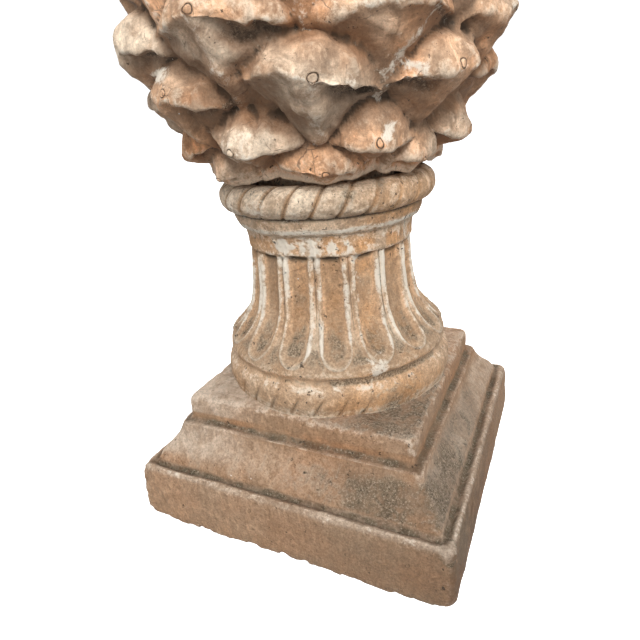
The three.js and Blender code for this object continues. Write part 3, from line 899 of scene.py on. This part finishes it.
def lay_scales():
    """The scales, in rows of eight with every other row turned by half a scale, each a little different."""
    chance = np.random.default_rng(SEED)
    scales = []
    for row in range(1, len(rows) + 1):
        for index in range(SCALES_PER_ROW):
            turn = 2 * math.pi / SCALES_PER_ROW * (index + (0.5 if row % 2 else 0))
            jitter = chance.uniform(-1, 1, 14)
            scale = dict(
                azimuth=turn + 0.06 * jitter[0], place=row + 0.07 + 0.07 * jitter[1],
                width=0.95 + 0.1 * jitter[2:4], drop=(0.24, 0.28) + 0.14 * jitter[4:6],
                reach=(0.46 if row == 2 else 0.66) + 0.06 * jitter[6], relief=1 + 0.06 * jitter[7],
                tint=0.7 * jitter[8], under_tint=0.35 + 0.5 * jitter[9], keel=0.25 + 0.35 * jitter[9], lean=0,
                hollow=(0.16, 0.18) + 0.1 * jitter[10:12], lip=(0.45, 0.5) + 0.4 * jitter[12:14],
                wave=2.1 * row + 5.3 * index, ring_turn=0, ring_rise=0.03,
            )
            for (seen_row, degrees), changes in SEEN_SCALES.items():
                if seen_row == row and degrees_from(turn, degrees) < 12:
                    scale = as_seen(scale, changes)
            scales.append(scale)
    return scales


def scale_form(scale, azimuth, place):
    """How far one scale stands out, from 0 at its rim to 1 at its tip, and what it is like at each place.

    Above the brow, which runs from corner to corner through the tip, is a domed face with an arched top.
    Below it is the underside, with a hollow on each side of a keel that runs down from the tip.
    """
    turn = turn_between(azimuth, scale["azimuth"])
    half = math.pi / SCALES_PER_ROW * np.where(turn < 0, *scale["width"])
    across = turn / half
    side = np.clip(np.abs(across), 0, 1)
    near = np.abs(across) < 1.15
    kind = scale["wave"]
    wave = np.zeros(len(across))
    wave[near] = [
        noise.noise(Vector((2.2 * a, kind, 0.5))) + 0.4 * noise.noise(Vector((9 * a, kind, 1.5)))
        for a in across[near]
    ]
    drop = np.where(across < 0, *scale["drop"])
    hang = np.where(across < 0, *scale["lip"])
    up = place - scale["place"] + drop * side**1.5 - 0.12 * wave * ease(side, 0.05, 0.35)
    ridge = 1 - (1 - CORNER_SHARE) * side**1.5
    arch = scale["reach"] * np.clip(1 - side**2.8, 1e-4, 1) ** (1 / 2.8) + 0.02
    vee = 1.85 * np.clip(1 - side**0.95, 1e-4, 1) ** (1 / 0.95) + 0.02
    above = np.clip(up / arch, 0, 1)
    below = np.clip(-up / vee, 0, 1)
    keel = bell(across - scale["lean"] * np.clip(1 - below / 0.67, 0, 1), 0.24)
    hollow = span(side, 0.04, 0.4, 0.75, 1.0) * bell(below - 0.2, 0.15)
    hollow = hollow * np.where(across < 0, *scale["hollow"])
    face = ridge * (1 - above**1.6)
    underside = ridge * (1 - below) ** (1.12 - 0.27 * keel) - hollow
    form = np.where(up > 0, face, underside)
    form = form * ease(np.abs(across), 1.1, 0.94) * scale["relief"]
    edge = bell(up, 0.13) * ease(side, 1.0, 0.9)
    lip = bell(up, np.where(up > 0, 0.15, 0.055)) * ease(side, 1.0, 0.9) * hang
    # Undersides, which are painted in shade, and a line of painted shadow just under the brow
    under = ease(-up, 0.0, 0.12)
    brow_shadow = bell(up + 0.10, 0.07) * span(side, 0.12, 0.35, 0.85, 1.0) * hang
    top = (0.7 * ease(above, 0.45, 0.95) + 0.45 * ease(side, 0.45, 0.9)) * (up > 0)
    looks = dict(edge=edge, lip=lip, brow_shadow=brow_shadow, under=under, hollow=5 * hollow * (up < 0),
                 keel=1.3 * scale["keel"] * keel**3 * under,
                 tint=scale["tint"] + top + (scale["under_tint"] - scale["tint"]) * under)
    return np.where(near, form, 0), looks


def pinecone():
    """The cone with its scales. A place on it counts rows: 1 at the lowest, and less on the way under it."""
    run = np.linspace(1, len(levels), 4000)
    heights = np.interp(run, counted, levels)
    radii = oval_radius(heights)
    along = np.concatenate(([0], np.cumsum(np.hypot(np.diff(heights), np.diff(radii)))))
    evenly = np.linspace(0, along[-1], int(along[-1] / CONE_STEP) + 1)
    line_places = np.interp(evenly, along, run)
    line_heights = np.interp(line_places, counted, levels)
    line_radii = oval_radius(line_heights)
    line_radii[-1] = 0
    under = [(0, cone_foot.z, 0), (CONE_NECK_RADIUS, cone_foot.z, 0.1)]
    under += [(CONE_NECK_RADIUS, hem + HEM_RISE, 0.3), (0.085, hem + HEM_RISE, 0.5)]
    under += [
        (HEM_RADIUS - HEM_RISE + 0.003 * i, hem + HEM_RISE - 0.0012 * i, HEM_PLACE + 0.06 * i)
        for i in range(5)
    ]
    outline = [(r, z) for r, z, _ in under] + list(zip(line_radii.tolist(), line_heights.tolist()))
    outline_places = np.array([p for _, _, p in under] + line_places.tolist())
    piece = turned("scaled_cone", outline, CONE_SIDES)

    blank = places_of(piece)
    azimuth = azimuth_of(blank)
    tree = KDTree(len(outline))
    for i, (radius, height) in enumerate(outline):
        tree.insert((radius, 0, height), i)
    tree.balance()
    nearest = [tree.find((math.hypot(x, y), 0, z))[1] for x, y, z in blank]
    place = outline_places[nearest]
    lifted = np.maximum(place, 1)
    height = np.interp(lifted, counted, levels)
    radius = oval_radius(height)
    ball = on_circle(azimuth, radius, height)

    # The outlines of the scales wander as hand-pressed ones do
    small = np.sqrt(np.clip(radius / CONE_RADIUS, 0, 1))
    moved_azimuth = azimuth + 0.025 * clouds(ball, 0.05, 13, 2)
    moved_place = lifted + 0.06 * clouds(ball, 0.05, 14, 2)
    scales = lay_scales()
    first = np.zeros(len(ball))
    second = np.zeros(len(ball))
    looks = dict.fromkeys(("edge", "lip", "brow_shadow", "under", "hollow", "keel", "tint"), np.zeros(len(ball)))
    for scale in scales:
        form, own = scale_form(scale, moved_azimuth, moved_place)
        ahead = form > first
        second = np.where(ahead, first, np.maximum(second, form))
        looks = {name: np.where(ahead, own[name], value) for name, value in looks.items()}
        first = np.where(ahead, form, first)
    crease = np.exp(-(first - second) / 0.07) * ease(second, 0.02, 0.12)
    crack = np.exp(-(first - second) / 0.016) * ease(second, 0.06, 0.2)

    step = 0.0005
    slope = (oval_radius(height + step) - oval_radius(height - step)) / (2 * step)
    slope = np.where(slope > 0, slope, slope / 2)
    length = np.hypot(1, slope)
    inward = np.column_stack((-1 / length, slope / length))
    down = np.column_stack((-slope / length, -1 / length))
    sink = SCALE_RELIEF * small * (1 - first) + CREASE_DEPTH * small * crease
    drop = SCALE_LIP * small * looks["lip"] * first
    radius = radius + inward[:, 0] * sink + down[:, 0] * drop
    height = height + inward[:, 1] * sink + down[:, 1] * drop

    # Below the lowest row the surface turns in over the rope roll to the neck in the well
    share = np.clip((place - HEM_PLACE) / (1 - HEM_PLACE), 0, 1)
    droop = np.clip(first, 0, 1) * HEM_RISE
    hem_radius = HEM_RADIUS - HEM_RISE + droop
    hem_height = hem + HEM_RISE - droop
    low = place < 1
    radius = np.where(low, hem_radius + (radius - hem_radius) * share, radius)
    height = np.where(low, hem_height + (height - hem_height) * share, height)
    spread = on_circle(azimuth, radius, height)
    fixed = place < HEM_PLACE
    spread[fixed] = blank[fixed]
    spread[np.hypot(blank[:, 0], blank[:, 1]) < 1e-6, :2] = 0
    place_all(piece, spread)

    # Worn creases, thumb marks and lumps
    loose = ease(place, 0.9, 1.0)[:, None]
    spread += (smoothed(piece, spread, 2) - spread) * loose
    place_all(piece, spread)
    normals = normals_of(piece)
    lumps = CONE_LUMPS * clouds(spread, 0.046, 15, 2) + CONE_BUMPS * clouds(spread, 0.016, 16, 4)
    lumps -= THUMB_MARKS * patches(spread, 0.022, 24, 2, 0.15, 0.5)
    pinches = PINCHES * (0.25 - np.abs(clouds(spread, 0.036, 17, 2)))
    spread += normals * ((lumps + pinches) * small)[:, None] * loose
    reach = np.hypot(spread[:, 0], spread[:, 1])
    most = cone_head.x - RING_CLEAR
    over = reach > most
    spread[over, :2] *= (most / reach[over])[:, None]
    spread[:, 2] = np.clip(spread[:, 2], cone_foot.z, cone_head.z)
    above_rope = (place >= HEM_PLACE) & (reach < pedestal_head.x * 0.7)
    spread[above_rope, 2] = np.maximum(spread[above_rope, 2], hem)
    place_all(piece, spread)

    mark_relief(piece, fine_reach=0.0016, broad_rounds=90, broad_reach=0.009)
    shown = place > 0.9
    drift = clouds(spread, 0.05, 20, 2)
    mark(piece, "tint", np.clip(looks["tint"] + 1.2 * drift, -1, 1))
    azimuth = azimuth_of(spread)
    crust = spots(azimuth, place, 1.0, [
        (47, 2.2, 0.07, 0.75), (52, 3.08, 0.08, 0.55), (33, 3.02, 0.06, 0.5), (-28, 3.36, 0.09, 1.0),
        (-5, 2.2, 0.2, 0.3),
    ])
    debris = spots(azimuth, place, 1.0, [(-5, 2.62, 0.07, 0.9), (-6, 2.5, 0.05, 0.8)])
    rims = 0.34 * looks["edge"] * ease(drift, 0.2, -0.2)
    mark(piece, "lime", np.maximum.reduce([0.42 * looks["keel"], rims, crust]) * shown * (1 - debris))
    smoky = patches(spread, 0.04, 23, 3, -0.5, 0.35)
    smears = patches(spread * (1, 1, 0.7), 0.020, 25, 4, 0.02, 0.45)
    # Painted shade in growth colour, partly dirt: creases and cracks between scales, hollows and the line
    # under the brows
    dirt_and_shade = 0.35 * crease + 0.45 * looks["hollow"] + 0.7 * looks["brow_shadow"] * smoky
    dirt_and_shade += 0.9 * crack * (0.45 + 0.55 * smears)
    mark(piece, "grime_and_shade", np.maximum(dirt_and_shade, debris) * shown)
    # Painted shade on the undersides, in the hollows, recesses and creases and under the brows, with stains
    # from smudges, debris and listed spots
    recess = ease(1 - first, 0.35, 0.75)
    darkening = 0.15 * looks["under"] + looks["hollow"] * (0.35 + 0.65 * smoky) + 0.24 * smears
    darkening += (1.15 * recess + 0.65 * crease) * (0.65 + 0.35 * smoky) + 0.8 * looks["brow_shadow"] + debris
    darkening += spots(azimuth, place, 1.0, [
        (-30, 3.55, 0.2, 0.6), (-14, 2.55, 0.2, 0.5), (86, 2.6, 0.2, 0.4), (31, 3.3, 0.2, 0.35),
        (22, 3.5, 0.15, 0.25), (-6, 3.1, 0.16, 0.85), (-8, 2.85, 0.14, 0.8), (-14, 3.3, 0.17, 0.6),
        (6, 1.7, 0.16, 0.75), (33, 1.62, 0.13, 0.6), (-22, 3.62, 0.1, 0.8), (-17, 3.42, 0.1, 0.8),
        (-13, 3.15, 0.1, 0.8), (97, 1.7, 0.2, 0.7), (-10, 1.6, 0.13, 0.5), (18, 2.35, 0.14, 0.6),
        (8, 3.2, 0.12, 0.3), (52, 2.35, 0.14, 0.5),
    ])
    mark(piece, "shade", np.clip(darkening, 0, 0.9) * shown)
    return piece, scales


def tip_ring(scale, skin, chance):
    """The small ring cut round a scale's tip: a flat round button with a thin groove, laid on the surface."""
    height = float(np.interp(scale["place"] + scale["ring_rise"], counted, levels))
    turn = scale["azimuth"] + scale["ring_turn"]
    radius = float(oval_radius(height))
    size = RING_RADIUS * math.sqrt(radius / CONE_RADIUS) * chance.uniform(0.85, 1.1)
    start = Vector(on_circle(np.array([turn]), np.array([radius + 0.02]), np.array([height]))[0])
    inward = Vector((-start.x, -start.y, 0)).normalized()
    place, normal, _, _ = skin.ray_cast(start, inward)
    stretch = chance.uniform(0.8, 1.15, 2)
    lobes = chance.uniform(-1, 1, 3)
    if place is None:
        return None
    select_none()
    bpy.ops.mesh.primitive_circle_add(vertices=24, radius=RING_OUTLINE_SHARES[-1][0] * size, fill_type="NGON")
    button = bpy.context.object
    edit("FACE")
    for (inner, _), (outer, _) in zip(RING_OUTLINE_SHARES[-2:0:-1], RING_OUTLINE_SHARES[:0:-1]):
        bpy.ops.mesh.inset(thickness=(outer - inner) * size)
    bpy.ops.mesh.poke()
    bpy.ops.object.mode_set(mode="OBJECT")
    flat = places_of(button)
    share = np.hypot(flat[:, 0], flat[:, 1]) / size
    swing = np.arctan2(flat[:, 1], flat[:, 0])
    uneven = 1 + 0.10 * lobes[0] * np.cos(2 * swing) + 0.09 * lobes[1] * np.cos(3 * swing + lobes[2])
    flat *= uneven[:, None]
    rise = np.interp(share, *zip(*RING_OUTLINE_SHARES))
    sideways = normal.cross(Vector((0, 0, 1))).normalized()
    upward = sideways.cross(normal)
    spread = []
    for (x, y, _), lift in zip(flat, rise):
        hit = skin.find_nearest(place + sideways * x * stretch[0] - upward * y * stretch[1])[0]
        spread.append(hit + normal * float(lift))
    place_all(button, np.array([tuple(p) for p in spread]))
    mark(button, "sunk", np.interp(share, [0.78, 0.9, 1.1, 1.25], [0, 1, 1, 0]))
    mark(button, "tint", np.clip(scale["tint"] + 1.3 * clouds(places_of(button), 0.05, 20, 2), -1, 1))
    return button


def tip_rings(cone, scales):
    mesh = cone.data
    skin = BVHTree.FromPolygons([v.co for v in mesh.vertices], [p.vertices for p in mesh.polygons])
    chance = np.random.default_rng(SEED + 1)
    buttons = [tip_ring(scale, skin, chance) for scale in scales]
    select_none()
    for button in filter(None, buttons):
        button.select_set(True)
        bpy.context.view_layer.objects.active = button
    bpy.ops.object.join()
    piece = bpy.context.object
    piece.name = "scale_tip_rings"
    bpy.ops.object.transform_apply(location=True, rotation=True, scale=True)
    count = len(piece.data.vertices)
    sunk = np.empty(count, np.float32)
    piece.data.attributes["sunk"].data.foreach_get("value", sunk)
    # The ring's groove is painted in shade: sunk for the crease shade, and marked with growth and shade
    mark(piece, "fine", -0.9 * sunk)
    mark(piece, "broad", 0.1 - 0.4 * sunk)
    mark(piece, "level", np.clip(normals_of(piece)[:, 2], 0, 1))
    mark(piece, "grime_and_shade", 0.9 * sunk)
    mark(piece, "shade", 0.9 * sunk)
    return piece


# Camera, floor and light

def photo_camera():
    forward = Vector((
        -math.sin(LOOK_AZIMUTH) * math.cos(LOOK_DOWN),
        math.cos(LOOK_AZIMUTH) * math.cos(LOOK_DOWN),
        -math.sin(LOOK_DOWN),
    ))
    level_right = Vector((math.cos(LOOK_AZIMUTH), math.sin(LOOK_AZIMUTH), 0))
    right = level_right * math.cos(LOOK_ROLL) + forward.cross(level_right) * math.sin(LOOK_ROLL)
    down = forward.cross(right)
    bpy.ops.object.camera_add()
    camera = bpy.context.object
    camera.matrix_world = Matrix.Translation(EYE) @ Matrix((right, -down, -forward)).transposed().to_4x4()
    camera.data.sensor_width = SENSOR_MM
    camera.data.lens = FOCAL_PIXELS / FRAME_PIXELS * SENSOR_MM
    bpy.context.scene.camera = camera


def lamp(name, place, size, power):
    bpy.ops.object.light_add(type="AREA", location=place)
    light = bpy.context.object
    light.name = name
    light.data.size = size
    light.data.energy = power
    light.rotation_euler = (LAMP_AIM - Vector(place)).to_track_quat("-Z", "Y").to_euler()


def studio():
    select_none()
    bpy.ops.mesh.primitive_circle_add(vertices=96, radius=FLOOR_RADIUS, fill_type="NGON", location=(0, 0, 0))
    floor = bpy.context.object
    floor.name = "floor"
    floor.visible_diffuse = False
    f = Finish("pale floor")
    f.feed(f.shader, {
        "Base Color": (0.90, 0.89, 0.88, 1), "Roughness": 0.95, "Emission Color": (1, 1, 1, 1),
        "Emission Strength": 1.0,
    })
    floor.data.materials.append(f.material)
    world = bpy.data.worlds.new("studio")
    bpy.context.scene.world = world
    world.use_nodes = True
    sky = Nodes(world.node_tree)
    place = sky.add("ShaderNodeTexCoord").outputs["Generated"]
    height = sky.add("ShaderNodeSeparateXYZ", {0: place}).outputs["Z"]
    light = sky.add("ShaderNodeValToRGB", {"Fac": height})
    for stop, position, colour in zip(light.color_ramp.elements, (0.2, 0.5), SKY_COLOURS):
        stop.position = position
        stop.color = (*colour, 1)
    strength = sky.add("ShaderNodeMapRange", {
        "Value": height, "From Min": -0.05, "From Max": -0.02, "To Min": GROUND_STRENGTH,
        "To Max": SKY_STRENGTH,
    })
    sky.feed(sky.tree.nodes["Background"], {
        "Color": light.outputs["Color"], "Strength": strength.outputs["Result"],
    })
    lamp("key", (0.95, -1.6, 1.85), 1.0, 66)
    lamp("back", (-0.5, 2.1, 1.0), 1.2, 24)
    bpy.context.scene.view_settings.view_transform = "Standard"


photo_camera()
studio()

slab_clay = fired_clay(
    "base clay", body=(0.425, 0.265, 0.155), warm=(0.50, 0.26, 0.13), pale=(0.73, 0.585, 0.455),
    growth=(0.14, 0.115, 0.075), grit=0.6, smoky=0.05)
column_clay = fired_clay(
    "column clay", body=(0.64, 0.41, 0.245), warm=(0.74, 0.39, 0.17), pale=(0.86, 0.71, 0.54),
    growth=(0.15, 0.128, 0.088), grit=0.62, pitted=0.37)
cone_clay = fired_clay(
    "cone clay", body=(0.71, 0.445, 0.275), warm=(0.79, 0.38, 0.177), pale=(0.785, 0.63, 0.472),
    growth=(0.125, 0.092, 0.064), grit=0.45, smoky=0.30, pitted=0.345, cracked=1.0)

dress(square_base(), "pedestal", slab_clay)
dress(column(), "pedestal", column_clay)
dress(collar(), "pedestal", column_clay)
cone, cone_scales = pinecone()
rings = tip_rings(cone, cone_scales)
dress(cone, "pinecone", cone_clay)
dress(rings, "pinecone", cone_clay)
